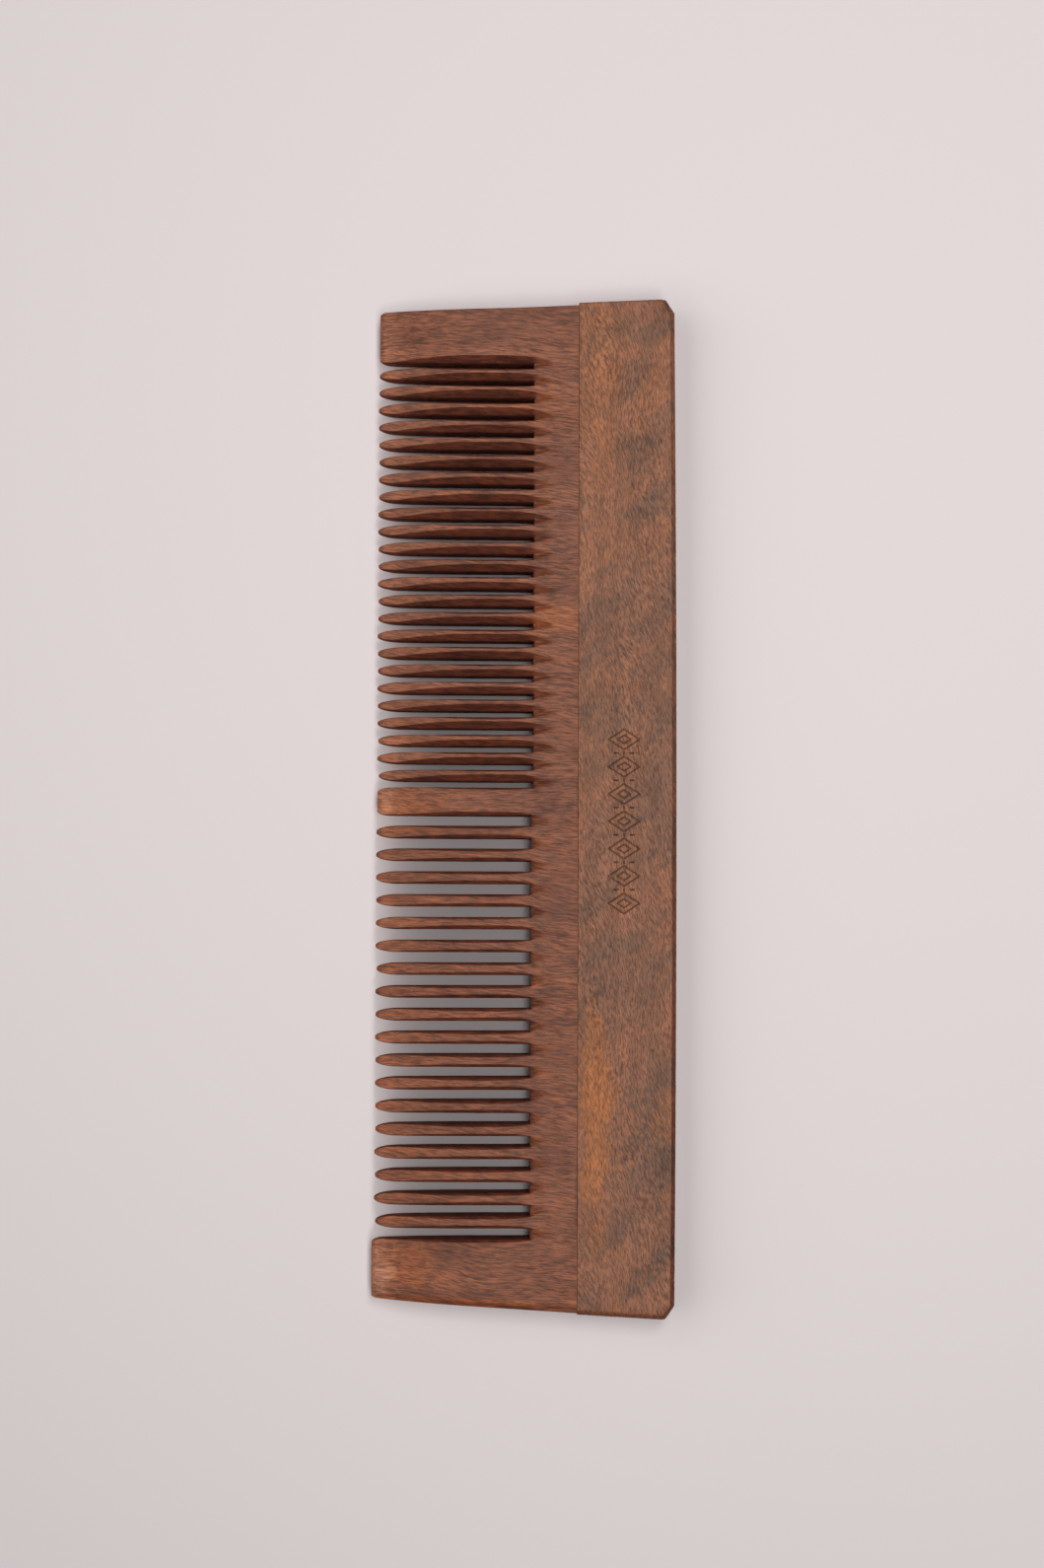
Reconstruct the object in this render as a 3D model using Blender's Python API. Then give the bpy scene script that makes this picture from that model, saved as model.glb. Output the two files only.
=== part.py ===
"""Dual-tooth wooden comb: a spine bar glued to a tooth board with fine and wide teeth.

Frame: +X runs along the comb towards its fine end, +Y from the spine towards the tooth tips, and +Z up
out of the face.  The comb lies flat, its lowest face at z = 0, with the origin under its middle.
The tooth board is one plank; it is stored as its rail and its separate teeth, seam by seam.
"""

import math

import bmesh
import bpy

MM = 0.001

# Driving dimensions, in millimetres
COMB_LENGTH = 190.8
SPINE_WIDTH = 18.4           # at the middle of the bowed back
BACK_BOW = 0.4               # how far the back falls away towards both ends
SPINE_THICKNESS = 8.8
BOARD_THICKNESS = 8.4
REACH = 38.1                 # joint line to the tip of the wide-end guard, the longest member
BROAD_TIP_LINE = 37.5        # joint line to the tips of the fine-end guard and the divider
TIP_LINE = 37.7              # joint line to the teeth's tips
SEAM = 0.3                   # glue line between neighbouring solids

# Spine
FINE_END_DRAFT = 0.85        # how much the spine's end leans in between its back and the joint
WIDE_END_DRAFT = 1.0
CORNER_ALONG = 2.6           # corner cuts at the back, along and across the comb
CORNER_ACROSS = 1.7
SPINE_EDGE = 0.6             # softened long edges
BACK_FACETS = 9              # an odd number keeps the middle one square to the comb

# Tongue and groove
TONGUE_THICKNESS = 2.8
TONGUE_DEPTH = 4.0
TONGUE_SETBACK = 7.0         # the tongue stops short of both ends

# Tooth board
FINE_END_STEP = 0.35         # the board is this much shorter than the spine at the joint
WIDE_END_STEP = 0.2
FINE_END_TAPER = 1.3         # how much the board's end leans in between the joint and the tips
WIDE_END_TAPER = 2.5
FINE_RAIL = 8.35             # joint line to the slot ends
WIDE_RAIL = 8.7
FIRST_SLOT = 83.2            # x of the fine-end guard's inner side

FINE_COUNT = 24
FINE_WIDTH = 2.06
FINE_GAP = 1.23
WIDE_COUNT = 18
WIDE_WIDTH = 2.3
WIDE_GAP = 1.95
DIVIDER_WIDTH = 5.17

# Tooth form
TIP_HALF_THICKNESS = 1.1
THICKNESS_RUN = 19.0         # the board thins towards the tips over this length
TOOTH_TIP_RUN = 4.6          # the outline's elliptical tip
CORNER_RUN = 1.6             # the rounded corners of the guards and the divider
END_ROUND = 1.3              # rounding of the tips' thickness
TIP_BLUNT = 0.12
FACET_SHARE = 0.45           # a tooth's facet, as a share of its half width
GUARD_FACET = 0.5
FACET_DROP = 0.17            # the facet's drop, as a share of the half thickness
FINE_GULLET = 3.2            # how far the V gullets run into the rail
WIDE_GULLET = 4.5
CUT_MARGIN = 0.5

# Derived places
BACK_Y = -(SPINE_WIDTH + REACH) / 2
JOINT_Y = BACK_Y + SPINE_WIDTH
MID_Z = SPINE_THICKNESS / 2
HALF_BOARD = BOARD_THICKNESS / 2
HALF_LENGTH = COMB_LENGTH / 2
FINE_PITCH = FINE_WIDTH + FINE_GAP
WIDE_PITCH = WIDE_WIDTH + WIDE_GAP
FIRST_FINE = FIRST_SLOT - FINE_GAP - FINE_WIDTH / 2
DIVIDER_HIGH = FIRST_SLOT - FINE_COUNT * FINE_PITCH - FINE_GAP
DIVIDER_LOW = DIVIDER_HIGH - DIVIDER_WIDTH
FIRST_WIDE = DIVIDER_LOW - WIDE_GAP - WIDE_WIDTH / 2
LAST_SLOT = DIVIDER_LOW - WIDE_COUNT * WIDE_PITCH - WIDE_GAP

SPINE_COLOUR = (0.223, 0.114, 0.065, 1.0)
BOARD_COLOUR = (0.262, 0.098, 0.058, 1.0)


def clear_scene():
    for thing in list(bpy.data.objects):
        bpy.data.objects.remove(thing, do_unlink=True)


def wood(name, colour):
    """A satin oiled wood; every object gets its own."""
    material = bpy.data.materials.new(name + "_wood")
    material.use_nodes = True
    shader = material.node_tree.nodes["Principled BSDF"]
    shader.inputs["Base Color"].default_value = colour
    shader.inputs["Roughness"].default_value = 0.55
    shader.inputs["Metallic"].default_value = 0.0
    return material


def add_object(name, mesh, colour=None, location=(0.0, 0.0, 0.0)):
    """An object for a mesh drawn in millimetres; without a colour it is a cutter."""
    thing = bpy.data.objects.new(name, mesh)
    thing.location = [value * MM for value in location]
    bpy.context.scene.collection.objects.link(thing)
    if colour is None:
        thing.hide_render = True
        thing.display_type = "WIRE"
    else:
        thing.data.materials.clear()
        thing.data.materials.append(None)
        thing.material_slots[0].link = "OBJECT"
        thing.material_slots[0].material = wood(name, colour)
    return thing


def finish_mesh(name, bm):
    """Turns a bmesh in millimetres into a mesh in metres with outward faces."""
    bmesh.ops.scale(bm, vec=(MM, MM, MM), verts=bm.verts)
    bmesh.ops.recalc_face_normals(bm, faces=bm.faces)
    mesh = bpy.data.meshes.new(name)
    bm.to_mesh(mesh)
    bm.free()
    return mesh


def boolean(target, cutter, operation):
    modifier = target.modifiers.new(operation.lower(), "BOOLEAN")
    modifier.operation = operation
    modifier.object = cutter
    modifier.solver = "EXACT"


def extrude_outline(outline, low, high):
    """A prism over a plan outline, between two heights."""
    bm = bmesh.new()
    floor = bm.faces.new([bm.verts.new((x, y, low)) for x, y in outline])
    raised = bmesh.ops.extrude_face_region(bm, geom=[floor])["geom"]
    tops = [item for item in raised if isinstance(item, bmesh.types.BMVert)]
    bmesh.ops.translate(bm, vec=(0.0, 0.0, high - low), verts=tops)
    return bm


def box(name, low, high):
    bm = extrude_outline([(low[0], low[1]), (high[0], low[1]), (high[0], high[1]), (low[0], high[1])],
                         low[2], high[2])
    return add_object(name, finish_mesh(name, bm))


def board_end(side, reach):
    """The board's end at a distance from the joint line, on the fine (+1) or wide (-1) side."""
    if side > 0:
        return HALF_LENGTH - FINE_END_DRAFT - FINE_END_STEP - FINE_END_TAPER * reach / TIP_LINE
    return -(HALF_LENGTH - WIDE_END_DRAFT - WIDE_END_STEP - WIDE_END_TAPER * reach / REACH)


def soften_back(bm):
    """Chamfers the spine's face edges, all but the two along the joint."""
    edges = []
    for edge in bm.edges:
        first, second = (vertex.co for vertex in edge.verts)
        level = abs(first.z - second.z) < 1e-6
        on_joint = min(first.y, second.y) > JOINT_Y - 2 * SEAM
        if level and not on_joint:
            edges.append(edge)
    bmesh.ops.bevel(bm, geom=edges, offset=SPINE_EDGE, segments=2, profile=0.5, affect="EDGES")


def back_line():
    """The bowed back as a run of straight facets, from the fine end's corner cut to the wide end's."""
    reach = HALF_LENGTH - CORNER_ALONG
    shares = [1.0 - 2.0 * index / BACK_FACETS for index in range(BACK_FACETS + 1)]
    middle = 1.0 / BACK_FACETS ** 2
    return [(reach * share, BACK_Y + BACK_BOW * (share ** 2 - middle) / (1.0 - middle)) for share in shares]


def make_spine():
    outline = [
        (HALF_LENGTH - FINE_END_DRAFT, JOINT_Y),
        (HALF_LENGTH, BACK_Y + BACK_BOW + CORNER_ACROSS),
        *back_line(),
        (-HALF_LENGTH, BACK_Y + BACK_BOW + CORNER_ACROSS),
        (-HALF_LENGTH + WIDE_END_DRAFT, JOINT_Y),
    ]
    bm = extrude_outline(outline, 0.0, SPINE_THICKNESS)
    soften_back(bm)
    spine = add_object("spine", finish_mesh("spine", bm), SPINE_COLOUR)
    half_groove = TONGUE_THICKNESS / 2 + SEAM
    groove_end = HALF_LENGTH - TONGUE_SETBACK + SEAM
    groove = box("groove_cutter",
                 (-groove_end, JOINT_Y - TONGUE_DEPTH - SEAM, MID_Z - half_groove),
                 (groove_end, JOINT_Y + 1.0, MID_Z + half_groove))
    boolean(spine, groove, "DIFFERENCE")


def slot_centres():
    """Every slot as (x of its middle, half gap, rail depth, gullet length, facet width)."""
    slots = []
    for index in range(FINE_COUNT + 1):
        x = FIRST_SLOT - FINE_GAP / 2 - index * FINE_PITCH
        slots.append((x, FINE_GAP / 2, FINE_RAIL, FINE_GULLET, FACET_SHARE * FINE_WIDTH / 2))
    for index in range(WIDE_COUNT + 1):
        x = DIVIDER_LOW - WIDE_GAP / 2 - index * WIDE_PITCH
        slots.append((x, WIDE_GAP / 2, WIDE_RAIL, WIDE_GULLET, FACET_SHARE * WIDE_WIDTH / 2))
    return slots


def gullet_cutters():
    """V notches that carry the teeth's facets on into both faces of the rail, as one mesh."""
    bm = bmesh.new()
    for x, half_gap, rail, length, facet in slot_centres():
        half_width = half_gap + facet
        depth = FACET_DROP * HALF_BOARD * half_width / facet
        grow = 1.0 + CUT_MARGIN / length
        mouth_y = JOINT_Y + rail + CUT_MARGIN
        for face in (1.0, -1.0):
            above = MID_Z + face * (HALF_BOARD + CUT_MARGIN)
            wide = half_width * (grow + CUT_MARGIN / depth)
            corners = [
                bm.verts.new((x - wide, mouth_y, above)),
                bm.verts.new((x + wide, mouth_y, above)),
                bm.verts.new((x, mouth_y, MID_Z + face * (HALF_BOARD - depth * grow))),
                bm.verts.new((x, JOINT_Y + rail - length * (1.0 + CUT_MARGIN / depth), above)),
            ]
            for skipped in range(4):
                bm.faces.new([corner for index, corner in enumerate(corners) if index != skipped])
    return add_object("gullet_cutters", finish_mesh("gullet_cutters", bm))


def make_rail():
    start = SEAM
    step_x = (DIVIDER_HIGH + DIVIDER_LOW) / 2
    outline = [
        (board_end(1, start), JOINT_Y + start),
        (board_end(1, FINE_RAIL), JOINT_Y + FINE_RAIL),
        (step_x, JOINT_Y + FINE_RAIL),
        (step_x, JOINT_Y + WIDE_RAIL),
        (board_end(-1, WIDE_RAIL), JOINT_Y + WIDE_RAIL),
        (board_end(-1, start), JOINT_Y + start),
    ]
    bm = extrude_outline(outline, MID_Z - HALF_BOARD, MID_Z + HALF_BOARD)
    rail = add_object("tooth_rail", finish_mesh("tooth_rail", bm), BOARD_COLOUR)
    tongue_end = HALF_LENGTH - TONGUE_SETBACK
    tongue = box("tongue_form",
                 (-tongue_end, JOINT_Y - TONGUE_DEPTH, MID_Z - TONGUE_THICKNESS / 2),
                 (tongue_end, JOINT_Y + 1.0, MID_Z + TONGUE_THICKNESS / 2))
    boolean(rail, tongue, "UNION")
    boolean(rail, gullet_cutters(), "DIFFERENCE")


def half_thickness(tip_distance):
    """The board's half thickness: full at the root, thinning to a rounded tip."""
    run = min(1.0, tip_distance / THICKNESS_RUN)
    slim = TIP_HALF_THICKNESS + (HALF_BOARD - TIP_HALF_THICKNESS) * (1.0 - (1.0 - run) ** 2)
    return slim * rounded(tip_distance, END_ROUND)


def rounded(tip_distance, run):
    """An elliptical rise from a blunt end to 1 over a run."""
    left = 1.0 - min(1.0, (tip_distance + TIP_BLUNT) / run)
    return math.sqrt(1.0 - left * left)


def loft(name, stations):
    """A bar of octagonal sections; a station is (y, low x, high x, half thickness, facet width)."""
    bm = bmesh.new()
    rings = []
    for y, low, high, half, facet in stations:
        edge = half * (1.0 - FACET_DROP)
        section = [(low + facet, half), (high - facet, half), (high, edge), (high, -edge),
                   (high - facet, -half), (low + facet, -half), (low, -edge), (low, edge)]
        rings.append([bm.verts.new((x, y, z)) for x, z in section])
    for ring, following in zip(rings[:-1], rings[1:]):
        for index in range(8):
            turn = (index + 1) % 8
            bm.faces.new((ring[index], ring[turn], following[turn], following[index]))
    bm.faces.new(rings[0])
    bm.faces.new(rings[-1])
    return finish_mesh(name, bm)


def tip_distances(length):
    """Stations from the root to the tip, closer together where the form curves."""
    inner = [THICKNESS_RUN * share for share in (1.0, 0.75, 0.5, 0.32, 0.2, 0.11, 0.055, 0.022)]
    return [length] + inner + [0.0]


def tooth_mesh(name, width, length):
    """A tooth about its own axis, with its root at y = 0."""
    stations = []
    for distance in tip_distances(length):
        half_width = width / 2 * rounded(distance, TOOTH_TIP_RUN)
        stations.append((length - distance, -half_width, half_width, half_thickness(distance),
                         FACET_SHARE * half_width))
    return loft(name, stations)


def make_teeth(prefix, count, width, pitch, first_x, rail):
    root = rail + SEAM
    mesh = tooth_mesh(prefix, width, TIP_LINE - root)
    for index in range(count):
        place = (first_x - index * pitch, JOINT_Y + root, MID_Z)
        add_object(f"{prefix}_{index + 1:02d}", mesh, BOARD_COLOUR, place)


def make_broad_member(name, rail, reach, low_at, high_at):
    """A guard or the divider: nearly full width to the end, with rounded corners."""
    root = rail + SEAM
    length = reach - root
    stations = []
    for distance in tip_distances(length):
        inset = CORNER_RUN * 0.6 * (1.0 - rounded(distance, CORNER_RUN))
        along = reach - distance
        facet = GUARD_FACET * rounded(distance, CORNER_RUN)
        stations.append((length - distance, low_at(along) + inset, high_at(along) - inset,
                         half_thickness(distance), facet))
    add_object(name, loft(name, stations), BOARD_COLOUR, (0.0, JOINT_Y + root, MID_Z))


def make_members():
    make_broad_member("fine_end_guard", FINE_RAIL, BROAD_TIP_LINE,
                      lambda along: FIRST_SLOT, lambda along: board_end(1, along))
    make_teeth("fine_tooth", FINE_COUNT, FINE_WIDTH, FINE_PITCH, FIRST_FINE, FINE_RAIL)
    make_broad_member("divider_tooth", WIDE_RAIL, BROAD_TIP_LINE,
                      lambda along: DIVIDER_LOW, lambda along: DIVIDER_HIGH)
    make_teeth("wide_tooth", WIDE_COUNT, WIDE_WIDTH, WIDE_PITCH, FIRST_WIDE, WIDE_RAIL)
    make_broad_member("wide_end_guard", WIDE_RAIL, REACH,
                      lambda along: board_end(-1, along), lambda along: LAST_SLOT)


clear_scene()
make_spine()
make_rail()
make_members()
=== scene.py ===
"""Looks for the two-tooth wooden comb: finished wood meshes, materials, floor, light and camera.

Lengths are in millimetres until a mesh is made.  The tooth board is one plank, so it is one mesh here;
it stands for the rail, both guards, the divider and every tooth of the CAD model.
"""

import math
from typing import NamedTuple

import bmesh
import bpy
import numpy as np
from mathutils import Matrix, Vector


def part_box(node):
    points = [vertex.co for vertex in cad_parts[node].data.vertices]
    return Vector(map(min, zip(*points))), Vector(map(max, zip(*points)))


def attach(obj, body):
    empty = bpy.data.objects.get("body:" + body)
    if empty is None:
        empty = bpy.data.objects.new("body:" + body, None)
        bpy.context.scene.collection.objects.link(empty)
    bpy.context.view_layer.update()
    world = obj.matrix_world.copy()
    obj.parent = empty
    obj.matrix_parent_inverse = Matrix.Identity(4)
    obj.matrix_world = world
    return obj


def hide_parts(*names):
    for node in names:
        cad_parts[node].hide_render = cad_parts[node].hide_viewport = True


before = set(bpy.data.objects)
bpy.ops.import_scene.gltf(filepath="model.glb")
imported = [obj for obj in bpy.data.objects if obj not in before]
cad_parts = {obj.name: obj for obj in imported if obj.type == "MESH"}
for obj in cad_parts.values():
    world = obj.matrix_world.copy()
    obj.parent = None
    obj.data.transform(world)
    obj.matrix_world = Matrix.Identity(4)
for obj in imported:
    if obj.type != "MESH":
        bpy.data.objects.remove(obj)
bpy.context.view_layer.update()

MM = 0.001
RNG = np.random.default_rng(41)

SEAM = 0.3                   # between the solids of the CAD model

# Board form, measured from the tips
TIP_HALF = 1.1               # half thickness at the tips
THIN_RUN = 19.0              # the board thins towards the tips over this length
END_ROUND = 1.3              # the tips are rounded off over this length, seen from the side
TIP_BLUNT = 0.12             # how far a rounded tip is cut short
FINE_TIP_RUN = 4.8           # the teeth narrow to their tips over these lengths
WIDE_TIP_RUN = 4.2
BROAD_CORNER = (1.0, 2.4)    # the broad members' corners at the tips, across and along
OUTER_CORNER = (0.75, 1.3)   # and the board's own corners
OUTER_CURVES = {1: (94.15, -0.062, 0.00077), -1: (94.19, -0.0665, 0.0)}   # the board's ends: x by powers

# How unevenly the comb was sawn
SLOT_SPREAD = 0.07           # the slots' ends and the facets' widths
SHIFT_SPREAD = 0.06
GULLET_SPREAD = 0.35
TIP_SPREAD = 0.12            # how far the teeth's tips fall short


class Cut(NamedTuple):
    """A V-wheel cut along a slot."""
    run: float               # of its flanks, per unit of rise
    facet: float             # width of the facet that it leaves on a tooth
    flare: float             # how far from the slot's end it starts to close
    gullet: float            # how far it runs on into the rail
    power: float             # how suddenly it closes
    shift: float             # how far the wheel sat towards the fine end
    follow: float            # how far the wheel followed the thinning board, as a share
    ease: float              # how much flatter its flanks get inside the rail


FINE_CUT = Cut(0.684, 0.77, 6.0, 3.7, 3.0, 0.42, 0.32, 0.45)
WIDE_CUT = Cut(0.80, 0.56, 4.0, 3.3, 2.0, 0.06, 0.72, 0.80)
FINE_GAP_LIMIT = 1.6         # slots narrower than this belong to the fine teeth

# Edge wear
WALL_ROUND = 0.13            # the wall's top edge, across and down
WALL_DROP = 0.16
TIP_WALL_ROUND = 0.24        # and at the tips
TIP_WALL_DROP = 0.30
TIP_WEAR_RUN = 9.0           # from the tips back, the edges get sharper over this length
TIP_WEAR_POWER = 1.5
WIDEST_ROUND = 0.45          # never more than these shares of the half width and the half thickness
DEEPEST_ROUND = 0.6
OUTER_ROUND = {1: 0.28, -1: 1.25}    # the board's two ends, across and down
OUTER_DROP = {1: 0.26, -1: 0.85}
BEVEL_POWER = 1.25           # the wide end is bevelled with a soft inner edge, not rounded
CREASE = 0.06                # between the mesh lines on both sides of a facet's upper edge
CREASE_SHARE = 0.06          # never more than this share of the half width
CREASE_BLEND = 0.12          # how soft that edge is
BLEND_SHARE = 0.25           # never more than this share of the half thickness
GULLET_START = 8.1           # past the joint line; the V's edges get softer from here into the rail
GULLET_BLEND = 0.40          # how much softer, over GULLET_FADE
GULLET_FADE = 2.4
GULLET_TURN = 0.9            # the V's flanks get flatter over this length
NARROWEST_V = 0.15           # the V's half width where it ends in the rail
V_SETTLE = 1.0               # past the slot's end, the mesh lines move to the V's middle over this length


# ---------------------------------------------------------------- mesh helpers

class Sheets:
    """Collects grids of quads and welds them into one closed mesh."""

    def __init__(self):
        self.points, self.quads, self.count = [], [], 0

    def add(self, grid):
        grid = np.asarray(grid, float)
        rows, cols = grid.shape[:2]
        index = np.arange(rows * cols).reshape(rows, cols) + self.count
        self.points.append(grid.reshape(-1, 3))
        self.quads.append(np.stack([index[:-1, :-1], index[1:, :-1], index[1:, 1:], index[:-1, 1:]],
                                   axis=-1).reshape(-1, 4))
        self.count += rows * cols

    def mesh(self, name):
        points = np.concatenate(self.points)
        quads = np.concatenate(self.quads)
        keys = np.round(points * 1e4).astype(np.int64)
        _, first, inverse = np.unique(keys, axis=0, return_index=True, return_inverse=True)
        quads = inverse.reshape(-1)[quads]
        mesh = bpy.data.meshes.new(name)
        mesh.from_pydata((points[first] * MM).tolist(), [], clean_faces(quads))
        bm = bmesh.new()
        bm.from_mesh(mesh)
        bmesh.ops.recalc_face_normals(bm, faces=bm.faces)
        open_edges = sum(1 for edge in bm.edges if len(edge.link_faces) != 2)
        print(f"{name}: {len(bm.faces)} faces, {open_edges} open edges")
        bm.to_mesh(mesh)
        bm.free()
        mesh.shade_smooth()
        mesh.set_sharp_from_angle(angle=math.radians(48.0))
        return mesh


def clean_faces(quads):
    """Drops repeated corners, and faces that have shrunk to a line."""
    faces = []
    for quad in quads.tolist():
        face = [corner for place, corner in enumerate(quad) if corner != quad[place - 1]]
        if len(face) >= 3:
            faces.append(face)
    return faces


def add_piece(name, mesh, material):
    piece = bpy.data.objects.new(name, mesh)
    bpy.context.scene.collection.objects.link(piece)
    mesh.materials.append(material)
    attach(piece, "root")
    return piece


def rise(distance, run):
    """An elliptical rise from a blunt end to 1 over a run."""
    left = 1.0 - np.clip((distance + TIP_BLUNT) / run, 0.0, 1.0)
    return np.sqrt(1.0 - left * left)


def edge_drop(distance, across, down):
    """How far a rounded edge lies under its face, at a distance from the edge."""
    left = 1.0 - np.clip(distance / across, 0.0, 1.0)
    return down * (1.0 - np.sqrt(np.clip(1.0 - left * left, 0.0, 1.0)))


def bevel_drop(distance, across, down):
    """The same for a bevelled edge."""
    return down * (1.0 - np.clip(distance / across, 0.0, 1.0)) ** BEVEL_POWER


def end_drop(side, distance, across, down):
    """The fine end's edges are rounded, the wide end's are bevelled."""
    return edge_drop(distance, across, down) if side > 0 else bevel_drop(distance, across, down)


def soft_min(first, second, blend):
    mix = np.clip(0.5 + 0.5 * (second - first) / blend, 0.0, 1.0)
    return second * (1.0 - mix) + first * mix - blend * mix * (1.0 - mix)


def box_mm(name):
    low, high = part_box(name)
    return np.array(low) / MM, np.array(high) / MM


# ---------------------------------------------------------------- the tooth board

SPINE_LOW, SPINE_HIGH = box_mm("spine")
RAIL_LOW, RAIL_HIGH = box_mm("tooth_rail")
JOINT_Y = SPINE_HIGH[1]
MID_Z = (SPINE_LOW[2] + SPINE_HIGH[2]) / 2
HALF_SPINE = (SPINE_HIGH[2] - SPINE_LOW[2]) / 2
HALF_BOARD = (RAIL_HIGH[2] - RAIL_LOW[2]) / 2

BOARD_START = 0.10           # the board's edge, past the joint line; the glue fills the rest
WALL_ROWS = np.array([1.0, 0.7, 0.35, 0.0, -0.35, -0.7, -1.0])
WALL_SHARES = np.array([0.0, 0.12, 0.4, 1.0])
RAIL_STATIONS = np.array([8.1, 7.0, 6.0, 5.2, 4.7, 4.3, 3.9, 3.5, 3.2, 2.9, 2.6, 2.3, 2.0, 1.7, 1.4, 1.1,
                          0.8, 0.55, 0.35, 0.2, 0.13, 0.07, 0.025, 0.0])
TIP_STATIONS = np.array([27.0, 24.5, 22.5, 20.5, 18.5, 16.5, 14.5, 13.0, 11.5, 10.2, 9.0, 8.0, 7.0, 6.2, 5.4,
                         4.6, 3.9, 3.2, 2.6, 2.0, 1.5, 1.1, 0.75, 0.48, 0.28, 0.14, 0.05, 0.0])


def half_thickness(tip_distance):
    run = np.clip(tip_distance / THIN_RUN, 0.0, 1.0)
    slim = TIP_HALF + (HALF_BOARD - TIP_HALF) * (1.0 - (1.0 - run) ** 2)
    return slim * rise(tip_distance, END_ROUND)


def gap_is_fine(gap):
    return 2 * gap.half < FINE_GAP_LIMIT


class Gap:
    """One slot: its middle, half width, where it ends in the rail, and the V-wheel cut along it."""

    def __init__(self, above, below):
        upper, lower = box_mm(above)[0], box_mm(below)[1]
        self.middle = (upper[0] + lower[0]) / 2
        self.half = (upper[0] - lower[0]) / 2
        fine = gap_is_fine(self)
        inner = below if fine else above
        if inner in ("fine_end_guard", "divider_tooth"):
            inner = above if fine else below
        self.end = box_mm(inner)[0][1] - SEAM - JOINT_Y + RNG.uniform(-SLOT_SPREAD, SLOT_SPREAD)
        self.cut = FINE_CUT if fine else WIDE_CUT
        self.facet = self.cut.facet + RNG.uniform(-SLOT_SPREAD, SLOT_SPREAD)
        self.shift = self.cut.shift + RNG.uniform(-SHIFT_SPREAD, SHIFT_SPREAD)
        self.gullet = self.cut.gullet + RNG.uniform(-GULLET_SPREAD, GULLET_SPREAD)


class Member:
    """A tooth, guard or divider: its axis, its slots on both sides and its plan outline."""

    def __init__(self, name, gap_high, gap_low):
        self.name = name
        self.low, self.high = box_mm(name)
        self.gaps = {1: gap_high, -1: gap_low}
        self.broad = gap_high is None or gap_low is None or name == "divider_tooth"
        self.tip = self.high[1] - JOINT_Y
        if gap_high is not None and gap_low is not None:
            self.axis = (gap_high.middle - gap_high.half + gap_low.middle + gap_low.half) / 2
        else:
            self.axis = (self.low[0] + self.high[0]) / 2
        self.ridge = 0.0
        if not self.broad:
            self.tip -= abs(RNG.normal(0.0, TIP_SPREAD))
            self.ridge = (gap_high.shift + gap_low.shift) / 2

    def slot_end(self, side):
        gap = self.gaps[side] or self.gaps[-side]
        return gap.end

    def length(self):
        """From the tip to the middle of its two slots' ends."""
        return self.tip - (self.slot_end(1) + self.slot_end(-1)) / 2

    def full_half(self, side):
        gap = self.gaps[side]
        return abs(gap.middle - self.axis) - gap.half


def outer_edge(side, along):
    """The board's gently curved end, by the distance from the joint line."""
    start, slope, bow = OUTER_CURVES[side]
    return side * (start + slope * along + bow * along ** 2)


def plan_half(member, side, along):
    """The member's half width at a distance from the joint line."""
    from_tip = member.tip - along
    if member.gaps[side] is None:
        edge = np.abs(outer_edge(side, along) - member.axis)
        return edge - OUTER_CORNER[0] * (1.0 - rise(from_tip, OUTER_CORNER[1]))
    full = member.full_half(side)
    if member.broad:
        return full - BROAD_CORNER[0] * (1.0 - rise(from_tip, BROAD_CORNER[1]))
    return full * rise(from_tip, FINE_TIP_RUN if gap_is_fine(member.gaps[side]) else WIDE_TIP_RUN)


def ridge_distance(member, side, along):
    """From the slot's middle to the line where the member's two halves meet."""
    share = (member.tip - along) / (member.tip - member.slot_end(side))
    ridge = member.ridge * rise(share * member.length(), FINE_TIP_RUN)
    return member.full_half(side) + member.gaps[side].half - side * ridge


def v_reach(gap, along):
    """Half width of the V cut at the board's full thickness; it closes inside the rail."""
    closing = np.clip((gap.end + gap.cut.flare - along) / (gap.cut.flare + gap.gullet), 0.0, None)
    return (gap.half + gap.facet) * (1.0 - closing ** gap.cut.power)


def v_height(gap, side, along, inward, top):
    """Height of the V cut's flank at a distance from the slot's middle."""
    ease = 1.0 + gap.cut.ease * np.clip((gap.end - along) / GULLET_TURN, 0.0, 1.0)
    flank = (v_reach(gap, along) - np.abs(inward + side * gap.shift)) / (gap.cut.run * ease)
    return HALF_BOARD - gap.cut.follow * (HALF_BOARD - top) - flank


def wear(member, from_tip, half_width, top):
    """How far the rounding of the top edge reaches, across and down."""
    near = np.clip(1.0 - from_tip / TIP_WEAR_RUN, 0.0, 1.0) ** TIP_WEAR_POWER
    across = WALL_ROUND + near * (TIP_WALL_ROUND - WALL_ROUND)
    down = WALL_DROP + near * (TIP_WALL_DROP - WALL_DROP)
    return np.minimum(across, WIDEST_ROUND * half_width), np.minimum(down, DEEPEST_ROUND * top)


def face_height(member, side, along, inward):
    """Half thickness of the board at a point; inward is the distance from the slot's middle."""
    gap = member.gaps[side]
    from_tip = member.tip - along
    top = half_thickness(from_tip)
    cell = member.full_half(side) + gap.half
    half_width = plan_half(member, side, along)
    facet = v_height(gap, side, along, inward, top)
    other = member.gaps[-side]
    if other is not None:
        across_member = abs(member.gaps[1].middle - member.gaps[-1].middle)
        facet = np.minimum(facet, v_height(other, -side, along, across_member - inward, top))
    blend = np.minimum(CREASE_BLEND, BLEND_SHARE * top)
    blend = blend + GULLET_BLEND * np.clip((GULLET_START - along) / GULLET_FADE, 0.0, 1.0)
    height = soft_min(top, facet, blend)
    wall = cell - half_width
    across, down = wear(member, from_tip, half_width, height)
    past = np.clip(gap.end - along, 0.0, None)
    distance = np.where(along >= gap.end, inward - wall,
                        np.hypot(np.clip(inward - gap.half, 0.0, None), past))
    return height - edge_drop(distance, across, down)


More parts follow.
